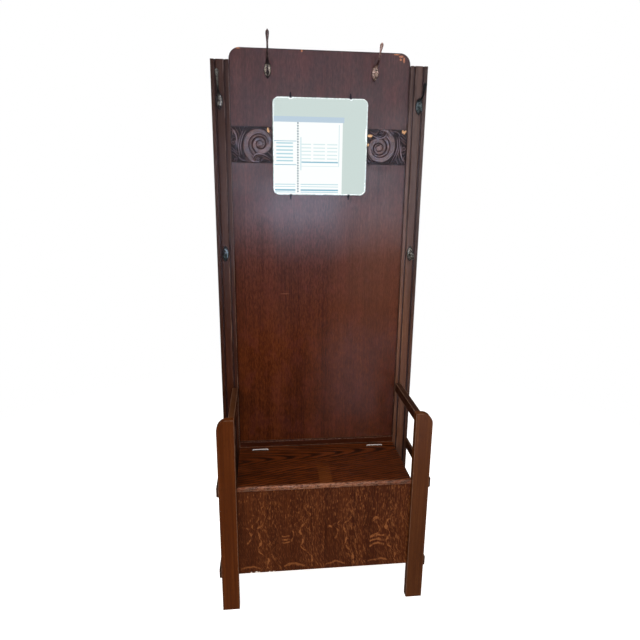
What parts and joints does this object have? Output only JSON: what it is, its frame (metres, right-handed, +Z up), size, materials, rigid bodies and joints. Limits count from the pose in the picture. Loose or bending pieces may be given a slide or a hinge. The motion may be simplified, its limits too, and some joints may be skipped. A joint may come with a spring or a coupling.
{
  "type": "hall tree",
  "caption": "Tall oak hall tree with a mirror, carved friezes and coat hooks on its back, and a box seat with a hinged lid between low arms and umbrella rails.",
  "frame": {"origin": "on the floor, at the middle of the overall width and depth", "axes": "+Z up, +Y to the back, against the wall, +X to the right as seen from the front"},
  "size_m": [0.706, 0.311, 1.8538],
  "materials": {
    "back_veneer": "dark red-brown stained oak veneer, satin varnish, fine upright grain",
    "carved_oak": "dark stained carving, worn on its high parts",
    "stile_oak": "dark brown stained oak, satin",
    "post_oak": "medium golden-brown stained oak, satin",
    "seat_oak": "red-brown flat-sawn oak with cathedral grain, satin, worn front edge",
    "quartersawn_oak": "quarter-sawn oak with ray fleck, satin",
    "plain_wood": "unstained secondary wood, aged",
    "mirror_backing": "dull dark card",
    "mirror_glass": "silvered plate glass with a chipped edge",
    "dark_steel": "blackened steel",
    "aged_bronze": "dark aged bronze plating worn to nickel on its high parts",
    "aged_copper": "worn coppery plating",
    "nickel_steel": "dull nickel-plated steel"
  },
  "bodies": {
    "frame": {"back_panel": "back_veneer", "stile_left": "stile_oak", "stile_right": "stile_oak", "batten_top": "plain_wood", "batten_middle": "plain_wood", "batten_seat": "plain_wood", "batten_foot": "plain_wood", "batten_screws": "nickel_steel", "frieze_left": "carved_oak", "frieze_right": "carved_oak", "mirror_backing": "mirror_backing", "mirror_glass": "mirror_glass", "mirror_clips": "dark_steel", "clip_screws": "dark_steel", "hook_top_left": "aged_bronze", "hook_top_right": "aged_copper", "hook_side_left": "aged_bronze", "hook_side_right": "aged_bronze", "coat_hook_left": "aged_bronze", "coat_hook_right": "aged_bronze", "hook_screws": "aged_bronze", "front_post_left": "post_oak", "front_post_right": "post_oak", "post_dowels": "plain_wood", "arm_left": "post_oak", "arm_right": "post_oak", "upper_rail_left": "post_oak", "upper_rail_right": "post_oak", "lower_rail_left": "post_oak", "lower_rail_right": "post_oak", "rail_screws": "nickel_steel", "box_front": "quartersawn_oak", "box_side_left": "post_oak", "box_side_right": "post_oak", "box_bottom": "plain_wood", "bottom_cleats": "plain_wood", "corner_blocks": "plain_wood", "seat_back_board": "seat_oak", "rear_fillet": "seat_oak", "hinge_fixed_leaf_left": "nickel_steel", "hinge_fixed_leaf_right": "nickel_steel", "fixed_leaf_screws": "nickel_steel", "hinge_pin_left": "nickel_steel", "hinge_pin_right": "nickel_steel"},
    "lid": {"seat_lid": "seat_oak", "lid_cleats": "plain_wood", "lid_cleat_screws": "nickel_steel", "hinge_lid_leaf_left": "nickel_steel", "hinge_lid_leaf_right": "nickel_steel", "lid_leaf_screws": "nickel_steel"}
  },
  "joints": [
    {"name": "lid_hinge", "type": "hinge", "parent": "frame", "child": "lid", "pos_m": [0, 0.097, 0.459], "axis": [-1, 0, 0], "range_deg": [0, 98]}
  ]
}
